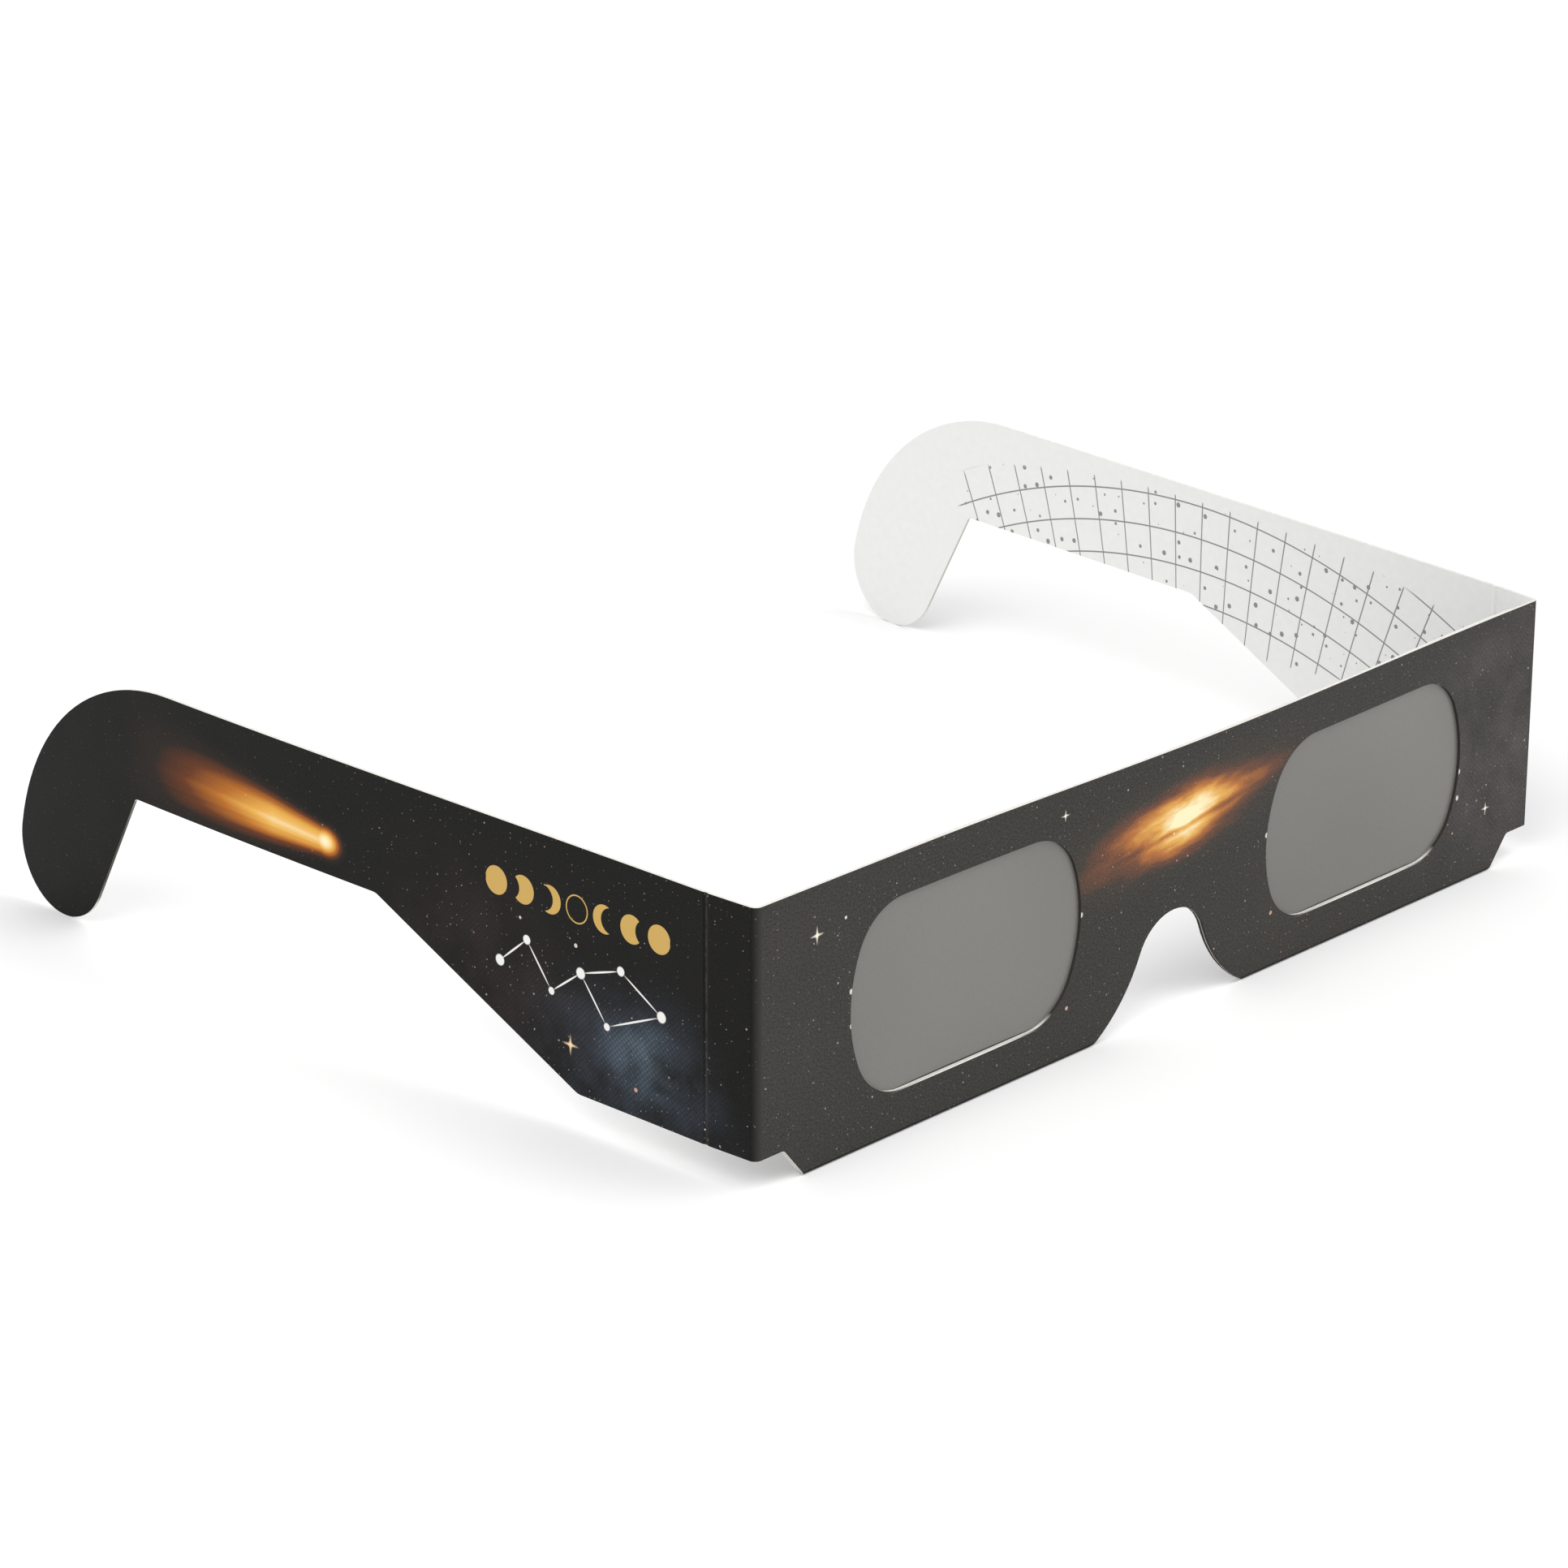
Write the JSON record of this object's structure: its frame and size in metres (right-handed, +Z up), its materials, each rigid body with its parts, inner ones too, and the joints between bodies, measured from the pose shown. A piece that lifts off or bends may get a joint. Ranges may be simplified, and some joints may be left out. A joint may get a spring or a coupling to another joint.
{
  "type": "card eclipse glasses",
  "caption": "Folded card viewing glasses: a flat front with a nose cut-out and dark filter windows, and temples with ear hooks that fold flat at the corner creases.",
  "frame": {"origin": "middle of the nose cut-out's mouth, on the front's outer face, level with the surface that the glasses stand on", "axes": "+X to the wearer's left across the front, +Y back along the temples, +Z up"},
  "size_m": [0.1525, 0.1244, 0.0334],
  "materials": {
    "printed_board": "satin print on white board",
    "filter_film": "satin grey film",
    "glue": "dried"
  },
  "bodies": {
    "front": {"front_panel": "printed_board", "back_panel": "printed_board", "bottom_fold_left": "printed_board", "bottom_fold_right": "printed_board", "panel_glue": "glue", "filter_film_left": "filter_film", "filter_film_right": "filter_film", "left_corner_crease": "printed_board", "right_corner_crease": "printed_board"},
    "left_strip": {"left_hinge_strip": "printed_board", "left_width_score": "printed_board"},
    "left_arm": {"left_temple": "printed_board"},
    "right_strip": {"right_hinge_strip": "printed_board", "right_width_score": "printed_board"},
    "right_arm": {"right_temple": "printed_board"}
  },
  "joints": [
    {"name": "left_corner_fold", "type": "hinge", "parent": "front", "child": "left_strip", "pos_m": [0.06905, 0.00095, 0], "axis": [0, 0, 1], "range_deg": [-81.94, 89.9], "deforming": ["left_corner_crease"]},
    {"name": "left_score_bend", "type": "hinge", "parent": "left_strip", "child": "left_arm", "pos_m": [0.07067, 0.00703, 0], "axis": [0, 0, 1], "range_deg": [-2.47, 2.71], "deforming": ["left_width_score"]},
    {"name": "right_corner_fold", "type": "hinge", "parent": "front", "child": "right_strip", "pos_m": [-0.06905, 0.00095, 0], "axis": [0, 0, -1], "range_deg": [-88.16, 86.6], "deforming": ["right_corner_crease"]},
    {"name": "right_score_bend", "type": "hinge", "parent": "right_strip", "child": "right_arm", "pos_m": [-0.07, 0.00717, 0], "axis": [0, 0, -1], "range_deg": [-2.65, 2.61], "deforming": ["right_width_score"]}
  ],
  "couplings": [
    {"joint": "left_score_bend", "follows": "left_corner_fold", "ratio": 0.03},
    {"joint": "right_score_bend", "follows": "right_corner_fold", "ratio": 0.03}
  ]
}
